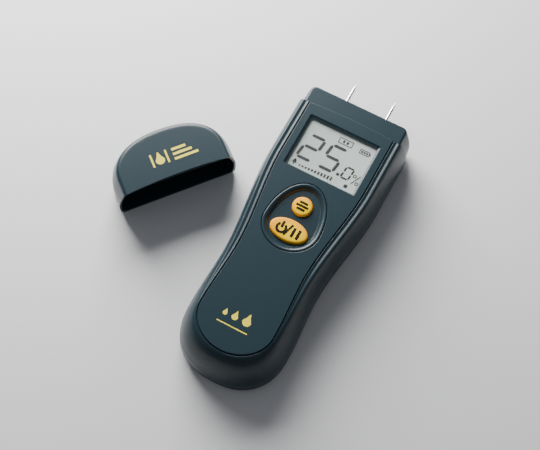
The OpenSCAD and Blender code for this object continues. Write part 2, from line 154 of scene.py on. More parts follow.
def back_profile(y):
    """Profile of the back mouldings, the same at every y."""
    p = through(BACK, 4)
    one = np.ones((len(y), 1))
    return one * p[:, 0], one * np.maximum(p[:, 1], 0)


def superellipse_ring(a, b_up, b_down, cy, n=2.0, steps=96):
    """Closed ring: x is a cos, y is b sin above the centre and b_down sin below it."""
    s = np.linspace(0, 2 * math.pi, steps, endpoint=False)
    c, d = np.cos(s), np.sin(s)
    x = a * np.sign(c) * np.abs(c) ** (2 / n)
    y = np.where(d > 0, b_up, b_down) * np.sign(d) * np.abs(d) ** (2 / n)
    return np.stack([x, cy + y], 1)


def rounded_ring(x0, x1, y0, y1, r, steps=7):
    """Closed ring of a rectangle whose corners are quarter circles of radius r."""
    a = np.linspace(0, math.pi / 2, steps)
    arcs = []
    for k, (cx, cy) in enumerate([(x1 - r, y1 - r), (x0 + r, y1 - r), (x0 + r, y0 + r), (x1 - r, y0 + r)]):
        s = a + k * math.pi / 2
        arcs.append(np.stack([cx + r * np.cos(s), cy + r * np.sin(s)], 1))
    return np.vstack(arcs)


def at_height(ring, z):
    """The ring's points at one height."""
    return np.column_stack([ring, np.full(len(ring), z)])


# ---------------------------------------------------------------- meshes

def mesh_object(name, verts, faces):
    """Object from points in millimetres and faces, with its normals made to point outward."""
    mesh = bpy.data.meshes.new(name)
    mesh.from_pydata((np.asarray(verts) * MM).tolist(), [], faces)
    bm = bmesh.new()
    bm.from_mesh(mesh)
    bmesh.ops.remove_doubles(bm, verts=bm.verts, dist=1e-7)
    bmesh.ops.recalc_face_normals(bm, faces=bm.faces)
    bm.to_mesh(mesh)
    bm.free()
    obj = bpy.data.objects.new(name, mesh)
    bpy.context.scene.collection.objects.link(obj)
    return obj


def grid_faces(nu, nv, close_u=False):
    """Quads of a grid whose points are stored row by row."""
    i = np.arange(nu if close_u else nu - 1)[:, None]
    j = np.arange(nv - 1)[None, :]
    a, b = i * nv + j, ((i + 1) % nu) * nv + j
    return np.stack([a, b, b + 1, a + 1], -1).reshape(-1, 4).tolist()


def ring_solid(name, rings):
    """Closed solid through equal rings, the first and the last one filled."""
    g = np.stack(rings, 1)
    nu, nv = g.shape[:2]
    caps = [[i * nv for i in range(nu)], [i * nv + nv - 1 for i in range(nu)]]
    return mesh_object(name, g.reshape(-1, 3), grid_faces(nu, nv, True) + caps)


def open_ended_solid(name, g, lip=()):
    """Closed solid from a grid that is open along the shoulder or mouth: the first and last
    rings are filled, and one face closes the end. lip holds extra points on the end's upper
    edge, from the left side to the right side."""
    nu, nv = g.shape[:2]
    verts = np.vstack([g.reshape(-1, 3), np.asarray(lip).reshape(-1, 3)])
    upper = list(range(nu * nv, nu * nv + len(lip)))
    last = [i * nv + nv - 1 for i in range(nu)]
    first = [i * nv for i in range(nu)]
    left = [(nu - 1) * nv + j for j in range(nv)]
    return mesh_object(name, verts, grid_faces(nu, nv) + [
        last + upper, first, list(range(nv)) + upper[::-1] + left[::-1]])


def box_solid(name, boxes):
    """One mesh of plain boxes, each given as x0, x1, y0, y1, z0, z1; used only as a tool."""
    verts, faces = [], []
    quads = np.array([[0, 1, 3, 2], [4, 6, 7, 5], [0, 4, 5, 1], [2, 3, 7, 6], [0, 2, 6, 4], [1, 5, 7, 3]])
    for k, (x0, x1, y0, y1, z0, z1) in enumerate(boxes):
        verts += [(x, y, z) for x in (x0, x1) for y in (y0, y1) for z in (z0, z1)]
        faces += (quads + 8 * k).tolist()
    return mesh_object(name, verts, faces)


def cylinder_solid(name, x, y, z0, z1, r, steps=40):
    """Closed cylinder along Z; used only as a tool or a post."""
    ring = superellipse_ring(r, r, r, 0, steps=steps) + [x, y]
    return ring_solid(name, [at_height(ring, z0), at_height(ring, z1)])


def carve(obj, tools, operation="DIFFERENCE"):
    """Applies one exact Boolean of all the tools to the object and deletes the tools."""
    held = bpy.data.collections.new("tools")
    bpy.context.scene.collection.children.link(held)
    for tool in tools:
        held.objects.link(tool)
    mod = obj.modifiers.new("cut", "BOOLEAN")
    mod.operation, mod.operand_type, mod.collection, mod.solver = operation, "COLLECTION", held, "EXACT"
    bake_modifiers(obj)
    for tool in tools:
        bpy.data.meshes.remove(tool.data)
    bpy.data.collections.remove(held)
    if not len(obj.data.polygons):
        raise RuntimeError("the Boolean left nothing of " + obj.name)


def bake_modifiers(obj):
    """Replaces the object's mesh by its evaluated one."""
    graph = bpy.context.evaluated_depsgraph_get()
    graph.update()
    mesh = bpy.data.meshes.new_from_object(obj.evaluated_get(graph))
    old = obj.data
    obj.modifiers.clear()
    obj.data = mesh
    bpy.data.meshes.remove(old)


def soften(obj, angle=35.0):
    """Smooth shading with edges sharper than the angle kept crisp; large faces keep their own
    normal up to their rim."""
    mesh = obj.data
    mesh.polygons.foreach_set("use_smooth", np.ones(len(mesh.polygons), bool))
    mesh.set_sharp_from_angle(angle=math.radians(angle))
    mod = obj.modifiers.new("level_faces", "WEIGHTED_NORMAL")
    mod.mode, mod.weight, mod.keep_sharp = "FACE_AREA", 80, True
    bake_modifiers(obj)


def finish_piece(obj, body, material, nodes=()):
    """Gives a piece its material and body, and hides the CAD nodes that it stands for."""
    obj.data.materials.clear()
    obj.data.materials.append(material)
    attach(obj, body)
    if nodes:
        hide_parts(*nodes)
    return obj


# ---------------------------------------------------------------- materials

def node(tree, kind, place=(0, 0), **values):
    """Adds a shader node; values go to its settings, or to its inputs where names match."""
    n = tree.nodes.new(kind)
    n.location = place
    for key, value in values.items():
        if key.startswith("in_"):
            n.inputs[key[3:].replace("_", " ")].default_value = value
        else:
            setattr(n, key, value)
    return n


def group_tree(name, inputs, outputs):
    """Empty shader group with named sockets."""
    tree = bpy.data.node_groups.new(name, "ShaderNodeTree")
    for label, kind, default in inputs:
        s = tree.interface.new_socket(name=label, in_out="INPUT", socket_type=kind)
        if default is not None:
            s.default_value = default
    for label, kind in outputs:
        tree.interface.new_socket(name=label, in_out="OUTPUT", socket_type=kind)
    return tree, node(tree, "NodeGroupInput", (-900, 0)), node(tree, "NodeGroupOutput", (700, 0))


def moulded_group():
    """Moulded surface: fine spark-eroded grain as a normal, faint cloudy colour and gloss."""
    found = bpy.data.node_groups.get("moulded_surface")
    if found:
        return found
    tree, gi, go = group_tree(
        "moulded_surface",
        [("Colour", "NodeSocketColor", (.05, .07, .08, 1)), ("Shift", "NodeSocketFloat", .06),
         ("Roughness", "NodeSocketFloat", .4), ("Roughness Spread", "NodeSocketFloat", .06),
         ("Grain Size", "NodeSocketFloat", 2500.0), ("Grain Depth", "NodeSocketFloat", .1)],
        [("Colour", "NodeSocketColor"), ("Roughness", "NodeSocketFloat"), ("Normal", "NodeSocketVector")])
    link = tree.links.new
    co = node(tree, "ShaderNodeTexCoord", (-900, 300))
    cloud = node(tree, "ShaderNodeTexNoise", (-600, 300), in_Scale=55.0, in_Detail=4.0)
    grain = node(tree, "ShaderNodeTexNoise", (-600, -300), in_Detail=2.0)
    link(co.outputs["Object"], cloud.inputs["Vector"])
    link(co.outputs["Object"], grain.inputs["Vector"])
    link(gi.outputs["Grain Size"], grain.inputs["Scale"])
    centred = node(tree, "ShaderNodeMath", (-400, 300), operation="SUBTRACT")
    centred.inputs[1].default_value = 0.5
    link(cloud.outputs["Fac"], centred.inputs[0])
    tone = node(tree, "ShaderNodeMath", (-200, 300), operation="MULTIPLY_ADD")
    tone.inputs[2].default_value = 1.0
    link(centred.outputs[0], tone.inputs[0])
    link(gi.outputs["Shift"], tone.inputs[1])
    hsv = node(tree, "ShaderNodeHueSaturation", (100, 300))
    link(tone.outputs[0], hsv.inputs["Value"])
    link(gi.outputs["Colour"], hsv.inputs["Color"])
    link(hsv.outputs["Color"], go.inputs["Colour"])
    rough = node(tree, "ShaderNodeMath", (-100, 0), operation="MULTIPLY_ADD")
    link(centred.outputs[0], rough.inputs[0])
    link(gi.outputs["Roughness Spread"], rough.inputs[1])
    link(gi.outputs["Roughness"], rough.inputs[2])
    link(rough.outputs[0], go.inputs["Roughness"])
    bump = node(tree, "ShaderNodeBump", (100, -300), in_Distance=0.0002)
    link(gi.outputs["Grain Depth"], bump.inputs["Strength"])
    link(grain.outputs["Fac"], bump.inputs["Height"])
    link(bump.outputs["Normal"], go.inputs["Normal"])
    return tree


def moulded(name, colour, rough=.4, spread=.06, shift=.06, size=2500.0, depth=.1, **shader):
    """Material whose colour, roughness and normal come from the moulded surface group."""
    mat = bpy.data.materials.new(name)
    mat.use_nodes = True
    tree = mat.node_tree
    bsdf = tree.nodes["Principled BSDF"]
    g = node(tree, "ShaderNodeGroup", (-300, 0), node_tree=moulded_group())
    for key, value in (("Colour", (*colour, 1)), ("Shift", shift), ("Roughness", rough),
                       ("Roughness Spread", spread), ("Grain Size", size), ("Grain Depth", depth)):
        g.inputs[key].default_value = value
    tree.links.new(g.outputs["Colour"], bsdf.inputs["Base Color"])
    tree.links.new(g.outputs["Roughness"], bsdf.inputs["Roughness"])
    tree.links.new(g.outputs["Normal"], bsdf.inputs["Normal"])
    for key, value in shader.items():
        bsdf.inputs[key.replace("_", " ")].default_value = value
    return mat


def ramp_along(tree, axis, low, high, colours):
    """Colour ramp along one object axis between two places in metres."""
    co = node(tree, "ShaderNodeTexCoord", (-1000, 200))
    parts = node(tree, "ShaderNodeSeparateXYZ", (-800, 200))
    tree.links.new(co.outputs["Object"], parts.inputs[0])
    fit = node(tree, "ShaderNodeMapRange", (-600, 200), in_From_Min=low, in_From_Max=high)
    tree.links.new(parts.outputs[axis], fit.inputs["Value"])
    ramp = node(tree, "ShaderNodeValToRGB", (-400, 200))
    tree.links.new(fit.outputs[0], ramp.inputs["Fac"])
    ramp.color_ramp.elements[0].color = (*colours[0], 1)
    ramp.color_ramp.elements[1].color = (*colours[1], 1)
    return ramp.outputs["Color"]


def key_material(name, centre, radii, face, edge):
    """Glossy keycap with painted shade: the face colour deepens toward the rim, more on the side away from
    the light, with a fine moulded texture."""
    mat = moulded(name, face, rough=.3, spread=.03, shift=.03, size=3000, depth=.04,
                  Specular_IOR_Level=.1)
    tree = mat.node_tree
    co = node(tree, "ShaderNodeTexCoord", (-1200, 500))
    place = node(tree, "ShaderNodeMapping", (-1000, 500), vector_type="TEXTURE")
    place.inputs["Location"].default_value = (centre[0] * MM, centre[1] * MM, 0)
    place.inputs["Scale"].default_value = (radii[0] * MM, radii[1] * MM, 1)
    # moves the centre of the painted shade so that it lies heavier on the side away from the light
    lean = node(tree, "ShaderNodeVectorMath", (-800, 500), operation="ADD")
    lean.inputs[1].default_value = (-.16, .18, 0)
    flat = node(tree, "ShaderNodeVectorMath", (-650, 500), operation="MULTIPLY")
    flat.inputs[1].default_value = (1, 1, 0)
    far = node(tree, "ShaderNodeVectorMath", (-500, 500), operation="LENGTH")
    # painted shade: face colour in the middle, deeper rim colour toward the edge
    ramp = node(tree, "ShaderNodeValToRGB", (-350, 500))
    stops = ramp.color_ramp.elements
    stops[0].position, stops[0].color = .45, (*face, 1)
    stops[1].position, stops[1].color = 1.12, (*edge, 1)
    g = [n for n in tree.nodes if n.type == "GROUP"][0]
    link = tree.links.new
    link(co.outputs["Object"], place.inputs["Vector"])
    link(place.outputs[0], lean.inputs[0])
    link(lean.outputs[0], flat.inputs[0])
    link(flat.outputs[0], far.inputs[0])
    link(far.outputs["Value"], ramp.inputs["Fac"])
    link(ramp.outputs["Color"], g.inputs["Colour"])
    return mat


def clear_material(name, colour, alpha, rough):
    """Clear plastic sheet: mostly see-through, with a sharp surface reflection and faint
    smears in its gloss."""
    mat = moulded(name, colour, rough=rough, spread=.05, shift=.02, size=400, depth=.0)
    mat.node_tree.nodes["Principled BSDF"].inputs["Alpha"].default_value = alpha
    return mat


def lcd_material():
    """Reflective display: pale grey-green with painted shade that darkens it toward the -X side, fine
    speckle.
    """
    mat = moulded("lcd_field", (.60, .68, .65), rough=.42, spread=.05, shift=.05, size=5000, depth=.03)
    tree = mat.node_tree
    g = [n for n in tree.nodes if n.type == "GROUP"][0]
    # painted shade: the field darkens from the +X side to the -X side
    colour = ramp_along(tree, "X", -.019, .019, ((.52, .60, .57), (.70, .78, .75)))
    tree.links.new(colour, g.inputs["Colour"])
    return mat


def banded_material(name, body, bands, axis, low, high):
    """Body colour with printed rings at the given shares of its length."""
    mat = moulded(name, body, rough=.35, shift=.04)
    tree = mat.node_tree
    g = [n for n in tree.nodes if n.type == "GROUP"][0]
    colour = ramp_along(tree, axis, low, high, (body, body))
    ramp = [n for n in tree.nodes if n.type == "VALTORGB"][0].color_ramp
    ramp.interpolation = "CONSTANT"
    for place, shade in bands:
        ramp.elements.new(place).color = (*shade, 1)
        ramp.elements.new(place + .09).color = (*body, 1)
    tree.links.new(colour, g.inputs["Colour"])
    return mat


MATERIALS = {}


def make_materials():
    """All finishes of the meter, by name."""
    c = bpy.context.scene.meter_colours
    casing = tuple(c.casing)
    MATERIALS.update(
        casing=moulded("casing_plastic", casing, rough=.28, spread=.02, shift=.04, depth=.1,
                       Specular_IOR_Level=.3),
        casing_back=moulded("casing_back_plastic", casing, rough=.4, spread=.02, shift=.04, depth=.16,
                            Specular_IOR_Level=.3),
        bezel=moulded("bezel_plastic", tuple(.92 * v for v in casing), rough=.28, shift=.05, depth=.1,
                      Specular_IOR_Level=.3),
        # both key materials carry painted shade toward their rims
        mode=key_material("mode_key_plastic", (0, 14.0), (5.0, 5.0), tuple(c.key), tuple(c.key_rim_shade)),
        power=key_material("power_key_plastic", (0, 0.2), (9.7, 5.7), tuple(c.key), tuple(c.key_rim_shade)),
        key_print=moulded("key_print", (.012, .006, .003), rough=.5, shift=.1, depth=.05,
                          Specular_IOR_Level=.1),
        yellow_print=moulded("yellow_print", tuple(c.marking), rough=.5, shift=.12, depth=.1),
        switch=moulded("switch_nylon", (.02, .02, .022), rough=.45),
        lens=clear_material("window_acrylic", (.02, .025, .025), .10, .05),
        lcd=lcd_material(),
        segments=moulded("lcd_segments", (.018, .022, .02), rough=.5, shift=.12, size=5000, depth=.02),
        white=moulded("white_moulding", (.62, .62, .59), rough=.45),
        zebra=banded_material("zebra_rubber", (.6, .2, .2), [(.3, (.7, .62, .6)), (.6, (.7, .62, .6))],
                              "Y", .0289, .0599),
        board=board_material(),
        chip=moulded("chip_epoxy", (.016, .016, .018), rough=.55, depth=.3, size=6000),
        steel=moulded("plated_steel", (.62, .63, .65), rough=.28, spread=.12, shift=.1, size=900,
                      depth=.05, Metallic=1.0),
        pin=moulded("pin_steel", (.78, .78, .80), rough=.16, spread=.08, shift=.05, size=1500,
                    depth=.04, Metallic=1.0),
        brass=moulded("turned_brass", (.72, .50, .20), rough=.3, spread=.1, Metallic=1.0),
        sleeve=moulded("capacitor_sleeve", (.015, .03, .12), rough=.3),
        resistor=banded_material("resistor_paint", (.50, .40, .24),
                                 [(.2, (.25, .05, .02)), (.4, (.05, .05, .05)), (.6, (.5, .12, .02))],
                                 "Y", .0448, .0512),
        trimmer=moulded("trimmer_blue", (.01, .07, .35), rough=.35),
        grey_wire=moulded("grey_insulation", (.42, .42, .42), rough=.4),
        red_wire=moulded("red_insulation", (.5, .012, .012), rough=.35),
        black_wire=moulded("black_insulation", (.012, .012, .012), rough=.35),
        battery=battery_material(),
        foam=moulded("foam_rubber", (.02, .02, .022), rough=.9, shift=.3, size=1200, depth=.8),
    )


def board_material():
    """Green solder mask with faint darker traces from a stretched brick pattern."""
    mat = moulded("circuit_board", (.015, .15, .05), rough=.3, spread=.05, shift=.15, size=1200, depth=.1)
    tree = mat.node_tree
    g = [n for n in tree.nodes if n.type == "GROUP"][0]
    co = node(tree, "ShaderNodeTexCoord", (-900, 400))
    brick = node(tree, "ShaderNodeTexBrick", (-600, 400), in_Scale=260.0, in_Mortar_Size=.06)
    brick.inputs["Color1"].default_value = (.012, .13, .045, 1)
    brick.inputs["Color2"].default_value = (.016, .16, .055, 1)
    brick.inputs["Mortar"].default_value = (.03, .24, .09, 1)
    tree.links.new(co.outputs["Object"], brick.inputs["Vector"])
    tree.links.new(brick.outputs["Color"], g.inputs["Colour"])
    return mat


def battery_material():
    """Dark printed jacket with a copper-coloured band round one end."""
    mat = moulded("battery_jacket", (.02, .02, .022), rough=.32, spread=.08, shift=.06, Metallic=.6)
    tree = mat.node_tree
    g = [n for n in tree.nodes if n.type == "GROUP"][0]
    lo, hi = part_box("battery")
    colour = ramp_along(tree, "Y", lo.y, hi.y, ((.018, .018, .02), (.55, .26, .10)))
    ramp = [n for n in tree.nodes if n.type == "VALTORGB"][0].color_ramp
    ramp.interpolation = "CONSTANT"
    ramp.elements[1].position = .72
    tree.links.new(colour, g.inputs["Colour"])
    return mat


# ---------------------------------------------------------------- pieces

def shoulder_tool():
    """Everything beyond the shoulder: its near face leans with height, is bowed across, and
    ends in a quarter round at the level face."""
    x = np.linspace(-40, 40, 81)
    r = 0.7
    turn = np.linspace(0, math.pi / 2, 6)
    heights = np.concatenate([np.linspace(-1, FACE_Z - r, 14)[:-1], FACE_Z - r + r * np.sin(turn), [27]])
    back_off = np.concatenate([np.zeros(13), r * (1 - np.cos(turn)), [r]])
    rings = [np.vstack([np.stack([x, SHOULDER_Y + LEAN * (FACE_Z - z) + bow(x, z) - d], 1),
                        [[40, 90], [-40, 90]]]) for z, d in zip(heights, back_off)]
    return ring_solid("shoulder_tool", [at_height(q, z) for q, z in zip(rings, heights)])


def casing_solid(name, profile):
    """Solid bounded by the skin of one moulding and cut off along the shoulder."""
    obj = open_ended_solid(name, casing_grid(profile))
    carve(obj, [shoulder_tool()])
    return obj


def inner_outline(inset):
    """Closed ring of the hollow: the outer outline pulled in by the inset."""
    up, mid, low, tip, n = OUTER
    return both_sides(half_outline((up - inset, mid - 1.18 * inset, low - 1.18 * inset,
                                    tip - 1.35 * inset, n), SHOULDER_Y - 2.2, 30, 14))


def plug_solid(name, z0, z1, round_top=True):
    """Plug for the cap: a rounded rectangle that spreads toward the back, with a small quarter
    round along its upper or lower edge."""
    r = 0.9
    turn = np.linspace(0, math.pi / 2, 6)
    if round_top:
        levels = [(0, z) for z in np.linspace(z0, z1 - r, 9)[:-1]]
        levels += [(r * (1 - math.cos(a)), z1 - r + r * math.sin(a)) for a in turn]
    else:
        levels = [(r * (1 - math.cos(a)), z0 + r - r * math.sin(a)) for a in turn[::-1]] + [(0, z1)]
    out = []
    for d, z in levels:
        half = PLUG_HALF + np.interp(z, PLUG_FLARE[:, 0], PLUG_FLARE[:, 1]) - d
        out.append(at_height(rounded_ring(-half, half, 54, PLUG_END - d, 2.6 - d), z))
    return ring_solid(name, out)


def hollow_tools(steps):
    """Tools for the inside of a moulding, from steps of (inset, lower height, upper height)."""
    return [ring_solid("hollow_tool", [at_height(inner_outline(inset), z) for z in (z0, z1)])
            for inset, z0, z1 in steps]


def lip_levels(slope, z1, flare, steps=5):
    """Rounded lip of an opening: (outward move, height) along a quarter round, then straight up
    past the surface at z1."""
    return [(slope + flare * (1 - math.cos(a)), z1 - flare + flare * math.sin(a))
            for a in np.linspace(0, math.pi / 2, steps)] + [(slope + flare, z1 + 1)]


class MeterColours(bpy.types.PropertyGroup):
    """Colours of the visible finishes."""
    casing: bpy.props.FloatVectorProperty(
        name="Casing", description="Colour of the moulded casing", subtype="COLOR", size=3,
        default=(.015, .031, .040), min=0, max=1)
    key: bpy.props.FloatVectorProperty(
        name="Keys", description="Colour of the keycaps", subtype="COLOR", size=3,
        default=(.94, .64, .0), min=0, max=1)
    # painted shade: the deeper colour toward the keycap rims, where the domed caps turn away from the light
    key_rim_shade: bpy.props.FloatVectorProperty(
        name="Key edge", description="Deeper colour at the rim of the keycaps", subtype="COLOR", size=3,
        default=(.92, .38, .0), min=0, max=1)
    marking: bpy.props.FloatVectorProperty(
        name="Markings", description="Colour of the printed marks", subtype="COLOR", size=3,
        default=(.80, .66, .03), min=0, max=1)


class MeterSizes(bpy.types.PropertyGroup):
    """Sizes of the visible details."""
    lip: bpy.props.FloatProperty(
        name="Lip radius", description="Rounding of the display and keypad openings",
        default=.0004, min=.0001, max=.0006, unit="LENGTH")
    grip_bars: bpy.props.IntProperty(
        name="Grip bars", description="Number of finger bars on the battery door", default=7, min=3, max=9)
    segment: bpy.props.FloatProperty(
        name="Segment width", description="Width of the large display segments",
        default=.0016, min=.001, max=.002, unit="LENGTH")


class StageSettings(bpy.types.PropertyGroup):
    """Floor, lights and camera."""
    floor_tone: bpy.props.FloatProperty(
        name="Floor tone", description="Brightness of the floor", default=.74, min=0, max=1)
    key_power: bpy.props.FloatProperty(
        name="Key light", description="Power of the large soft light, in watts", default=11.5, min=0, max=100)
    fill_power: bpy.props.FloatProperty(
        name="Fill light", description="Power of the fill light, in watts", default=.2, min=0, max=50)
    lens: bpy.props.FloatProperty(
        name="Lens", description="Focal length of the camera in millimetres", default=86.67, min=20, max=200)


class METER_OT_front_casing(bpy.types.Operator):
    """Front moulding with its rim, groove, display opening, keypad opening and plug"""
    bl_idname = "meter.front_casing"
    bl_label = "Front casing"

    def execute(self, context):
        lip = context.scene.meter_sizes.lip / MM
        obj = casing_solid("front_casing_shell", front_profile)
        carve(obj, [plug_solid("plug_tool", PART_FRONT, 23.4)], "UNION")
        pane = rounded_ring(-19.5, 19.5, 29.2, 59.6, .8)
        window = [at_height(pane, 20), at_height(pane, LENS_TOP)]
        window += [at_height(window_ring(d), z) for d, z in
                   [(0, LENS_TOP + .01)] + lip_levels(.75, FACE_Z, lip)]
        well = [(-2.4, 20), (-2.4, 23.4), (0, 23.41)] + lip_levels(0, FACE_Z, .35)
        cuts = hollow_tools([(2.7, 4, 17), (4.6, 16.9, 21), (6.2, 20.9, 23.8)])
        cuts += [box_solid("plug_hollow", [(-24, 24, 56, 73.6, 4, 21.6)]), pin_hole(-9.8), pin_hole(12.2),
                 ring_solid("window_opening", window),
                 ring_solid("keypad_opening", [at_height(superellipse_ring(
                     14.6 + d, 23.1 + d, 13.5 + d, EGG_Y), z) for d, z in well])]
        carve(obj, cuts)
        ribs = [(s * 16 - .8, s * 16 + .8, -62, -9.5, 3.2, 24.2) for s in (-1, 1)]
        ribs += [(min(s * 15.2, s * 17.4), max(s * 15.2, s * 17.4), -62, -12, 2.4, 3.3) for s in (-1, 1)]
        ribs += [(-16, 16, -62, -60.6, 5.2, 24.2), (-16, 16, -46, -44.5, 21.5, 24.2),
                 (-16, 16, -28, -26.5, 21.5, 24.2)]
        carve(obj, [box_solid("rib", [rib]) for rib in ribs], "UNION")
        soften(obj)
        finish_piece(obj, "meter", MATERIALS["casing"], ["front_casing"])
        return {"FINISHED"}


def window_ring(d):
    """Display opening moved out by d, less so on the lower side."""
    return rounded_ring(-18 - d, 18 + d, 30.6 - .6 * d, 58.2 + 1.1 * d, .5 + .35 * d)


def pin_hole(x):
    """Cylinder along Y through the plug's wall, round the electrode at x."""
    a = np.linspace(0, 2 * math.pi, 24, endpoint=False)
    ring = np.stack([x + 1.3 * np.cos(a), 10.5 + 1.3 * np.sin(a)], 1)
    rings = [np.column_stack([ring[:, 0], np.full(24, y), ring[:, 1]]) for y in (72, 77)]
    return ring_solid("pin_hole", rings)


class METER_OT_back_casing(bpy.types.Operator):
    """Upper back moulding and the full-width battery door below it"""
    bl_idname = "meter.back_casing"
    bl_label = "Back casing and battery door"

    def execute(self, context):
        back = casing_solid("back_casing_shell", back_profile)
        door = casing_solid("battery_door_shell", back_profile)
        carve(back, [plug_solid("plug_tool", 2.8, PART_BACK, False)], "UNION")
        hollow = [(3.1, 1.8, 6)]
        carve(back, hollow_tools(hollow) + [box_solid("cut", [(-40, 40, -90, -.2, -1, 7)])])
        carve(door, hollow_tools(hollow) + [box_solid("cut", [(-40, 40, -.6, 90, -1, 7)])])
        spots = [(x, y) for x in (-25.4, 25.4) for y in (56, 26)]
        posts = [cylinder_solid("boss", x, y, .9, 4.9, 3.4) for x, y in spots]
        carve(back, posts + [box_solid("wall", [(-22.4, 22.4, -.2, 2.4, .9, 6.4)])], "UNION")
        carve(back, [screw_well(x, y) for x, y in spots] + [
            box_solid("mouth", [(-9.3, 9.3, -1.6, 3.4, 2, 3.7)])])
        dress_door(door, context.scene.meter_sizes.grip_bars)
        for obj, body, name in ((back, "meter", "back_casing"), (door, "door", "battery_door")):
            soften(obj)
            finish_piece(obj, body, MATERIALS["casing_back"], [name])
        return {"FINISHED"}


def screw_well(x, y):
    """Countersunk hole: a flared mouth, a well for the head and a clearance hole."""
    levels = [(3.1, -.5), (3.0, 0), (2.65, .35), (2.6, 2.4), (1.5, 2.41), (1.5, 6)]
    return ring_solid("well", [at_height(superellipse_ring(r, r, r, 0, steps=40) + [x, y], z)
                               for r, z in levels])


def dress_door(door, bars):
    """Tongue, guides, and a finger recess crossed by raised bars, with an arrow below it."""
    oval = [at_height(superellipse_ring(11 - d, 7.5 - d, 7.5 - d, -15), z)
            for d, z in ((-1.2, -.3), (-.6, 0), (0, .35), (.6, .75))]
    arrow = np.array([(0, -30), (3.2, -26), (-3.2, -26)])
    carve(door, [ring_solid("recess", oval), ring_solid("arrow", [at_height(arrow, z) for z in (-.5, .3)])])
    parts = [box_solid("tongue", [(-9, 9, -3.6, 2.2, 2.3, 3.4)]),
             box_solid("root", [(-9, 9, -3.6, -1.6, 1.7, 2.4)])]
    for s in (-1, 1):
        x = sorted((s * 17.9, s * 19.3))
        parts.append(box_solid("guide", [(*x, -58, -12, 1.7, 4.4)]))
        x = sorted((s * 17.1, s * 18.0))
        parts.append(box_solid("lip", [(*x, -58, -12, 3.55, 4.4)]))
    for k in range(bars):
        y = -15 + (k - (bars - 1) / 2) * 1.9
        half = 9.4 * math.sqrt(max(.05, 1 - ((y + 15) / 7.2) ** 2))
        parts.append(ring_solid("bar", [
            at_height(rounded_ring(-half + d, half - d, y - .5 + d, y + .5 - d, .45 - d), z)
            for d, z in ((.25, .12), (.08, .25), (0, .5), (0, 1.2))]))
    carve(door, parts, "UNION")


class METER_OT_keypad(bpy.types.Operator):
    """Egg-shaped bezel and the two keys"""
    bl_idname = "meter.keypad"
    bl_label = "Keypad"

    def execute(self, context):
        egg = lambda d: superellipse_ring(14.5 - d, 23 - d, 13.4 - d, EGG_Y)
        top = through([(0, 23.4), (0, 25.4), (.12, 25.8), (.5, 26.02), (1.1, 25.98), (1.7, 25.7),
                       (2.3, 25.2), (2.75, 24.65), (3.0, 24.38), (3.3, 24.3), (4.2, 24.3)], 4)
        rings = [at_height(egg(d), z) for d, z in top]
        bezel = ring_solid("keypad_bezel_ring", rings)
        carve(bezel, [cylinder_solid("hole", 0, 14, 20, 27, 5.2, 64),
                      ring_solid("hole", [at_height(oval_ring(-.2), z) for z in (20, 27)])])
        soften(bezel)
        finish_piece(bezel, "meter", MATERIALS["bezel"], ["keypad_bezel"])
        mode = key_solid("mode_keycap", lambda d: superellipse_ring(5 - d, 5 - d, 5 - d, 14.0), 5.0)
        power = key_solid("power_keycap", oval_ring, 5.7)
        finish_piece(mode, "mode_key", MATERIALS["mode"], ["mode_button"])
        finish_piece(power, "power_key", MATERIALS["power"], ["power_button"])
        return {"FINISHED"}


def oval_ring(d):
    """Outline of the power key moved in by d."""
    return superellipse_ring(9.7 - d, 5.7 - d, 5.7 - d, .2)


def crown(d, reach):
    """Height of a keycap at distance d in from its rim: a quarter round that runs into a low
    dome, 26.12 at the middle."""
    r = 1.0
    edge = np.sqrt(np.maximum(0, r * r - (r - np.minimum(d, r)) ** 2))
    return 24.7 + edge + .42 * (1 - (1 - np.clip(d / reach, 0, 1)) ** 2)


def key_solid(name, ring, reach):
    """Keycap: stem, retaining flange, straight side and domed crown, as rings moved inward."""
    d = np.concatenate([1 - np.cos(np.linspace(0, math.pi / 2, 9)), np.linspace(1.0, reach - .4, 10)[1:]])
    levels = [(3.6, PLUNGER_TOP), (3.6, KEY_FLANGE), (-.65, KEY_FLANGE), (-.7, KEY_FLANGE + .15),
              (-.7, KEY_FLANGE + 1.0), (-.65, KEY_FLANGE + 1.1), (0, KEY_FLANGE + 1.15)]
    levels += [(v, float(crown(np.array(v), reach))) for v in d]
    obj = ring_solid(name, [at_height(ring(v), z) for v, z in levels])
    soften(obj)
    return obj


# ---------------------------------------------------------------- flat marks

def mark(name, shapes, surface, thick=.05, strips=False):
    """One mesh of thin marks. Each shape is a closed ring of (x, y) or a pair of equal rings
    (outer, inner) for a hole; surface(x, y) gives the height under the mark. With strips, each
    ring is filled by cross bars between its two long sides, so that it follows a curved face."""
    verts, faces, base = [], [], 0
    for shape in shapes:
        rings = shape if isinstance(shape, tuple) else (shape,)
        pts = np.vstack(rings)
        z = surface(pts[:, 0], pts[:, 1])
        n, m = len(rings[0]), len(pts)
        verts += [np.column_stack([pts, z + thick]), np.column_stack([pts, z - .04])]
        i = np.arange(n)
        j = (i + 1) % n
        if len(rings) == 2:
            for level, flip in ((base, 1), (base + m, -1)):
                quad = np.stack([i, j, j + n, i + n], 1) + level
                faces += quad[:, ::flip].tolist()
            sides = [(base, base + m, 1), (base + n, base + m + n, -1)]
        elif strips:
            k = np.arange(n // 2 - 1)
            quad = np.stack([k, k + 1, n - 2 - k, n - 1 - k], 1)
            faces += (quad + base).tolist() + (quad[:, ::-1] + base + m).tolist()
            sides = [(base, base + m, 1)]
        else:
            faces += [(i + base).tolist(), (i[::-1] + base + m).tolist()]
            sides = [(base, base + m, 1)]
        for top, low, flip in sides:
            faces += np.stack([i + top, i + low, j + low, j + top], 1)[:, ::flip].tolist()
        base += 2 * m
    return mesh_object(name, np.vstack(verts), faces)


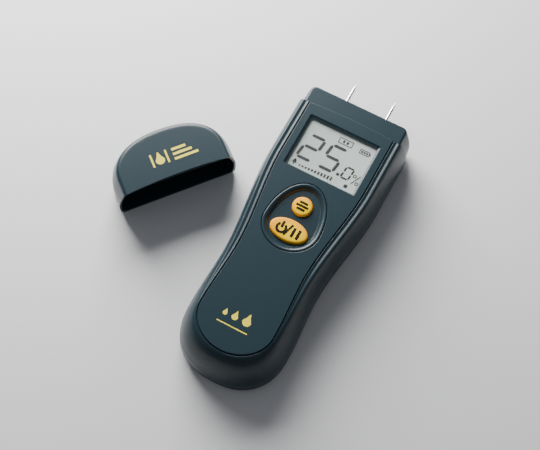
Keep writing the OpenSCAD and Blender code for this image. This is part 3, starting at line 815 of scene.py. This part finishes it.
def bar(x0, y0, x1, y1, w, steps=1):
    """Straight stroke of width w between two points, as a ring."""
    a, b = np.array([x0, y0], float), np.array([x1, y1], float)
    d = (b - a) / np.linalg.norm(b - a)
    s = np.array([-d[1], d[0]]) * w / 2
    t = np.linspace(0, 1, steps + 1)[:, None]
    return np.vstack([a + (b - a) * t - s, (a + (b - a) * t + s)[::-1]])


def arc_band(cx, cy, r, w, a0, a1, steps=40):
    """Curved stroke of width w along a circle, as a ring; angles in degrees."""
    a = np.radians(np.linspace(a0, a1, steps))[:, None]
    ray = np.hstack([np.cos(a), np.sin(a)])
    return np.vstack([[cx, cy] + ray * (r + w / 2), ([cx, cy] + ray * (r - w / 2))[::-1]])


def drop(cx, cy, r, steps=36):
    """Water drop: a circle whose upper part is drawn up to a point by the law
    y = r (sin a + 0.9 sin a to the 7th), narrowing as it rises."""
    a = np.linspace(0, 2 * math.pi, steps, endpoint=False)
    s = np.maximum(np.sin(a), 0)
    return np.stack([cx + r * np.cos(a) * (1 - .35 * s), cy + r * (np.sin(a) + .9 * s ** 7)], 1)


def flat_at(z):
    """Surface function of a level plane."""
    return lambda x, y: np.full(len(x), z)


def key_surface(cx, cy, a, b, reach):
    """Height of a keycap's crown under a point. The crown's rings are ellipses whose two radii
    shrink by the same amount; that amount is found by halving its interval."""
    def height(x, y):
        low, high = np.zeros(len(x)), np.full(len(x), min(a, b) - .01)
        for _ in range(24):
            d = (low + high) / 2
            inside = ((x - cx) / (a - d)) ** 2 + ((y - cy) / (b - d)) ** 2 < 1
            low, high = np.where(inside, d, low), np.where(inside, high, d)
        return crown(low, reach)
    return height


class METER_OT_markings(bpy.types.Operator):
    """Printed marks on the keys and the handle"""
    bl_idname = "meter.markings"
    bl_label = "Markings"

    def execute(self, context):
        top = key_surface(0, 14, 5, 5, 5.0)
        icon = mark("mode_key_mark", [bar(-half, 13.8 + y, half, 13.8 + y, 1.15, 8)
                                      for half, y in ((2.1, 1.75), (3.1, 0), (2.1, -1.75))], top, .1, True)
        finish_piece(icon, "mode_key", MATERIALS["key_print"])
        top = key_surface(0, .2, 9.7, 5.7, 5.7)
        marks = [arc_band(-3.6, -.5, 2.25, 1.2, 124, 416), bar(-3.6, -.3, -3.6, 3.2, 1.2, 8),
                 bar(-1.2, -3.3, .9, 3.2, 1.0, 10), bar(2.5, -2.7, 2.5, 2.3, 1.3, 8),
                 bar(5.2, -2.7, 5.2, 2.3, 1.3, 8)]
        icon = mark("power_key_mark", marks, top, .1, True)
        finish_piece(icon, "power_key", MATERIALS["key_print"])
        drops = [drop(-6.4, -49.6, 1.15), drop(-1.4, -49.4, 1.6), drop(4.6, -49.1, 2.15)]
        line = [bar(-8.2, -54.3, 7.4, -54.3, .55)]
        icon = mark("handle_mark", drops + line, flat_at(FACE_Z))
        finish_piece(icon, "meter", MATERIALS["yellow_print"])
        return {"FINISHED"}


# ---------------------------------------------------------------- display

def segment(cx, cy, length, w, upright, lean):
    """One display segment: a bar with mitred ends, leaned to the right."""
    h, k = length / 2, w / 2
    p = np.array([(-h, 0), (-h + k, -k), (h - k, -k), (h, 0), (h - k, k), (-h + k, k)])
    if upright:
        p = p[:, ::-1] * [1, -1]
    p = p + [cx, cy]
    p[:, 0] += lean * p[:, 1]
    return p


def digit(cx, cy, wide, tall, w, lit, lean=.12):
    """Seven-segment digit; 'lit' names its segments a to g."""
    q, gap = tall / 2, w * .16
    spots = {"a": (0, q, 0), "g": (0, 0, 0), "d": (0, -q, 0), "f": (-wide / 2, q / 2, 1),
             "b": (wide / 2, q / 2, 1), "e": (-wide / 2, -q / 2, 1), "c": (wide / 2, -q / 2, 1)}
    out = []
    for s in lit:
        x, y, up = spots[s]
        seg = segment(x, y, (q if up else wide) - 2 * gap, w, up, lean)
        out.append(seg + [cx, cy])
    return out


class METER_OT_display(bpy.types.Operator):
    """Clear window and the display's dark segments"""
    bl_idname = "meter.display"
    bl_label = "Display"

    def execute(self, context):
        w = context.scene.meter_sizes.segment / MM
        shapes = digit(-10.9, 43.7, 7.6, 13.2, w, "abged")
        shapes += digit(.8, 43.7, 7.6, 13.2, w, "afgcd")
        shapes += digit(10.7, 39.9, 3.9, 6.2, .95, "abcdef")
        shapes += [rounded_ring(6.0, 7.5, 36.6, 38.1, .2)]
        shapes += [arc_band(14.6, 40.2, .75, .5, 0, 352, 20), arc_band(17.0, 36.9, .75, .5, 0, 352, 20),
                   bar(14.4, 35.7, 17.2, 41.4, .5)]
        box = (rounded_ring(-1.0, 6.4, 52.6, 55.9, .3), rounded_ring(-.6, 6.0, 53.0, 55.5, .15))
        shapes += [box] + [bar(x, 53.5, x, 55.0, 1.1) for x in (1.7, 3.7)]
        cell = (rounded_ring(10.5, 15.7, 52.2, 54.9, .3), rounded_ring(10.9, 15.3, 52.6, 54.5, .15))
        shapes += [cell, rounded_ring(15.7, 16.3, 53.0, 54.1, .1)]
        shapes += [bar(x, 52.95, x, 54.15, .9) for x in (11.8, 13.1, 14.4)]
        shapes += [np.array([(-16.2, 33.1), (-13.2, 33.1), (-14.7, 34.7)]),
                   np.array([(-15.8, 34.1), (-13.6, 34.1), (-14.7, 35.6)]),
                   rounded_ring(-15.05, -14.35, 32.2, 33.1, .1)]
        shapes += [bar(x, 32.6, x, 33.4 + .14 * k, 1.0) for k, x in enumerate(np.arange(-11.6, 5.2, 1.66))]
        shapes += [rounded_ring(12.0, 13.8, 32.6, 34.4, .2)]
        marks = mark("lcd_segments", shapes, flat_at(LCD_TOP + .03), .03)
        finish_piece(marks, "meter", MATERIALS["segments"])
        ring = lambda d: rounded_ring(-19.3 + d, 19.3 - d, 29.4 + d, 59.4 - d, .8)
        lens = ring_solid("window_pane", [at_height(ring(d), z) for d, z in
                                          ((.12, LENS_TOP - 1), (0, LENS_TOP - .88), (0, LENS_TOP - .12),
                                           (.12, LENS_TOP))])
        soften(lens)
        finish_piece(lens, "meter", MATERIALS["lens"], ["window_lens"])
        return {"FINISHED"}


# ---------------------------------------------------------------- cap

CAP_LEN, DOME_Y, DOME_N = 31.0, 8.0, 2.3
CAP_PLACE, CAP_TURN = (-59.7, -0.4), math.radians(50.7)
CAP_OUTSIDE = [(3.2, 0), (2.5, 0), (1.8, .12), (1.1, .5), (.6, 1.2), (.25, 2.4), (.08, 4), (0, 6.5), (0, 9.5),
               (.15, 13), (.55, 16), (1.1, 18.3), (1.75, 20.6), (2.35, 22.6), (2.8, 24.0), (3.2, 24.9),
               (3.75, 25.55), (4.5, 25.92), (5.4, 26.0), (6.3, 26.0)]
CAP_INSIDE = [(5.2, 1.5), (3.6, 1.52), (2.6, 1.9), (1.7, 2.8), (1.15, 4.2), (1.0, 7), (1.0, 10), (1.2, 13.5),
              (1.75, 16.5), (2.45, 19.2), (3.1, 21.5), (3.75, 23.4), (4.6, 24.3), (5.8, 24.5), (6.8, 24.5)]


def cap_grid(profile, mouth, steps=(12, 44)):
    """Grid of the cap: straight sides, then a superellipse dome, moved in by the profile's
    first number; mouth(z) gives where the sides start."""
    rows, turns = steps
    d, z = profile[:, 0][None], profile[:, 1][None]
    h, reach = OUTER[0] - d, CAP_LEN - DOME_Y - 1.2 * d
    k = np.linspace(0, 1, rows, endpoint=False)[:, None]
    start = mouth(z) + np.zeros_like(d)
    side = np.stack([h + 0 * k, start + (DOME_Y - start) * k, z + 0 * k], -1)
    a = np.linspace(0, math.pi / 2, turns)[:, None]
    c = np.maximum(np.cos(a), 0) ** (2 / DOME_N)
    dome = np.stack([h * c, DOME_Y + reach * np.sin(a) ** (2 / DOME_N), z + 0 * a], -1)
    dome[-1, :, 0] = 0
    half = np.concatenate([side, dome])
    return np.concatenate([half, (half * [-1, 1, 1])[-2::-1]])


def lay_down(points):
    """Turns and moves points from the cap's own frame to where it lies."""
    c, s = math.cos(CAP_TURN), math.sin(CAP_TURN)
    p = np.asarray(points, float)
    out = p.copy()
    out[..., 0] = c * p[..., 0] - s * p[..., 1] + CAP_PLACE[0]
    out[..., 1] = s * p[..., 0] + c * p[..., 1] + CAP_PLACE[1]
    return out


class METER_OT_cap(bpy.types.Operator):
    """Loose protective cap with its hollow, gripping ribs and printed mark"""
    bl_idname = "meter.cap"
    bl_label = "Protective cap"

    def execute(self, context):
        skin = through(CAP_OUTSIDE, 4)
        skin[:, 1] = np.clip(skin[:, 1], 0, FACE_Z)
        g = cap_grid(skin, lambda z: LEAN * (FACE_Z - z))
        edge_x = np.linspace(-22, 22, 23)
        lip = np.stack([edge_x, 1.25 * (1 - (edge_x / 26) ** 2), np.full(23, FACE_Z)], 1)
        obj = open_ended_solid("cap_shell", lay_down(g), lay_down(lip))
        inside = through(CAP_INSIDE, 4)
        g = cap_grid(inside, lambda z: -3.0)
        carve(obj, [open_ended_solid("cap_hollow", lay_down(g))])
        ribs = [ring_solid("rib", [
            lay_down(at_height(rounded_ring(x - .6 + d, x + .6 - d, 4.2 + d, 22 - d, .55 - d), z))
            for d, z in ((0, .8), (0, 2.1), (.2, 2.3))]) for x in (-15, 15)]
        carve(obj, ribs, "UNION")
        soften(obj)
        finish_piece(obj, "cap", MATERIALS["casing"], ["protective_cap"])
        cx, cy = 1.6, 11.6
        shapes = [drop(cx - 6.4, cy - .7, 2.3), bar(cx - 10.2, cy - 3.4, cx - 10.2, cy + 3.6, .9),
                  bar(cx - 2.6, cy - 3.4, cx - 2.6, cy + 3.6, .9)]
        shapes += [bar(cx + .4, cy + y, cx + .4 + n, cy + y, 1.3)
                   for n, y in ((7.2, 2.5), (9.6, -.1), (12.0, -2.7))]
        shapes = [lay_down(np.column_stack([s, np.zeros(len(s))]))[:, :2] for s in shapes]
        icon = mark("cap_mark", shapes, flat_at(FACE_Z))
        finish_piece(icon, "cap", MATERIALS["yellow_print"])
        return {"FINISHED"}


class METER_OT_inner_parts(bpy.types.Operator):
    """Finishes of the electronics, electrodes, battery and screws"""
    bl_idname = "meter.inner_parts"
    bl_label = "Inner parts"

    def execute(self, context):
        finishes = {
            "mode_plunger": "switch", "power_plunger": "switch", "switch_bodies": "switch",
            "lcd_glass": "lcd", "lcd_holder": "white", "zebra_strips": "zebra", "main_pcb": "board",
            "controller_chip": "chip", "amplifier_chips": "chip", "crystal": "steel",
            "capacitors": "sleeve", "resistors": "resistor", "trimmer_body": "trimmer",
            "trimmer_rotor": "white", "electrode_block": "white", "electrode_sockets": "brass",
            "electrode_pins": "pin", "sensor_leads": "grey_wire", "battery": "battery",
            "battery_terminals": "steel", "battery_snap": "switch", "battery_lead_red": "red_wire",
            "battery_lead_black": "black_wire", "door_pad": "foam", "case_screws": "steel",
            "pcb_screws": "steel"}
        for name, finish in finishes.items():
            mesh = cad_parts[name].data
            mesh.materials.clear()
            mesh.materials.append(MATERIALS[finish])
        return {"FINISHED"}


class METER_OT_stage(bpy.types.Operator):
    """Floor, lights and camera"""
    bl_idname = "meter.stage"
    bl_label = "Stage"

    def execute(self, context):
        s = context.scene.stage_settings
        floor = mesh_object("floor", [(-3000, -3000, -.02), (3000, -3000, -.02), (3000, 3000, -.02),
                                      (-3000, 3000, -.02)], [[0, 1, 2, 3]])
        tone = s.floor_tone
        floor.data.materials.append(moulded("floor_paper", (tone, tone, tone * 1.01), rough=.7, spread=.05,
                                            shift=.02, size=300, depth=.02))
        area_light("key_light", (-.34, .34, .26), (-.06, .04, 0), s.key_power, .42, (1, 1, .99))
        area_light("fill_light", (.6, -.5, .8), (0, 0, 0), s.fill_power, .9, (.95, .97, 1))
        world = context.scene.world or bpy.data.worlds.new("world")
        context.scene.world = world
        world.use_nodes = True
        world.node_tree.nodes["Background"].inputs["Color"].default_value = (.9, .93, 1, 1)
        world.node_tree.nodes["Background"].inputs["Strength"].default_value = .2
        cam = bpy.data.cameras.new("camera")
        cam.lens, cam.sensor_width, cam.sensor_fit = s.lens, 36, "HORIZONTAL"
        obj = bpy.data.objects.new("camera", cam)
        context.scene.collection.objects.link(obj)
        aim(obj, (.1020, -.2075, .5901), (-.01397, .00758, 0))
        context.scene.camera = obj
        return {"FINISHED"}


def aim(obj, place, target):
    """Puts an object at a place, looking at the target."""
    obj.location = place
    obj.rotation_euler = (Vector(target) - Vector(place)).to_track_quat("-Z", "Y").to_euler()


def area_light(name, place, target, power, size, colour):
    """Square area light."""
    data = bpy.data.lights.new(name, "AREA")
    data.energy, data.size, data.color = power, size, colour
    obj = bpy.data.objects.new(name, data)
    bpy.context.scene.collection.objects.link(obj)
    aim(obj, place, target)


STEPS = (METER_OT_front_casing, METER_OT_back_casing, METER_OT_keypad, METER_OT_display,
         METER_OT_cap, METER_OT_markings, METER_OT_inner_parts, METER_OT_stage)


class METER_PT_panel(bpy.types.Panel):
    """Sidebar panel with one button per piece"""
    bl_idname = "METER_PT_panel"
    bl_label = "Moisture Meter"
    bl_space_type = "VIEW_3D"
    bl_region_type = "UI"
    bl_category = "Moisture Meter"

    def draw(self, context):
        for settings in ("meter_colours", "meter_sizes", "stage_settings"):
            group = getattr(context.scene, settings)
            for prop in group.__annotations__:
                self.layout.prop(group, prop)
        for step in STEPS:
            self.layout.operator(step.bl_idname)


CLASSES = (MeterColours, MeterSizes, StageSettings, *STEPS, METER_PT_panel)


def register():
    for cls in CLASSES:
        bpy.utils.register_class(cls)
    bpy.types.Scene.meter_colours = bpy.props.PointerProperty(type=MeterColours)
    bpy.types.Scene.meter_sizes = bpy.props.PointerProperty(type=MeterSizes)
    bpy.types.Scene.stage_settings = bpy.props.PointerProperty(type=StageSettings)


def unregister():
    for name in ("meter_colours", "meter_sizes", "stage_settings"):
        delattr(bpy.types.Scene, name)
    for cls in reversed(CLASSES):
        bpy.utils.unregister_class(cls)


def main():
    register()
    make_materials()
    for step in STEPS:
        group, call = step.bl_idname.split(".")
        getattr(getattr(bpy.ops, group), call)()


if __name__ == "__main__":
    main()
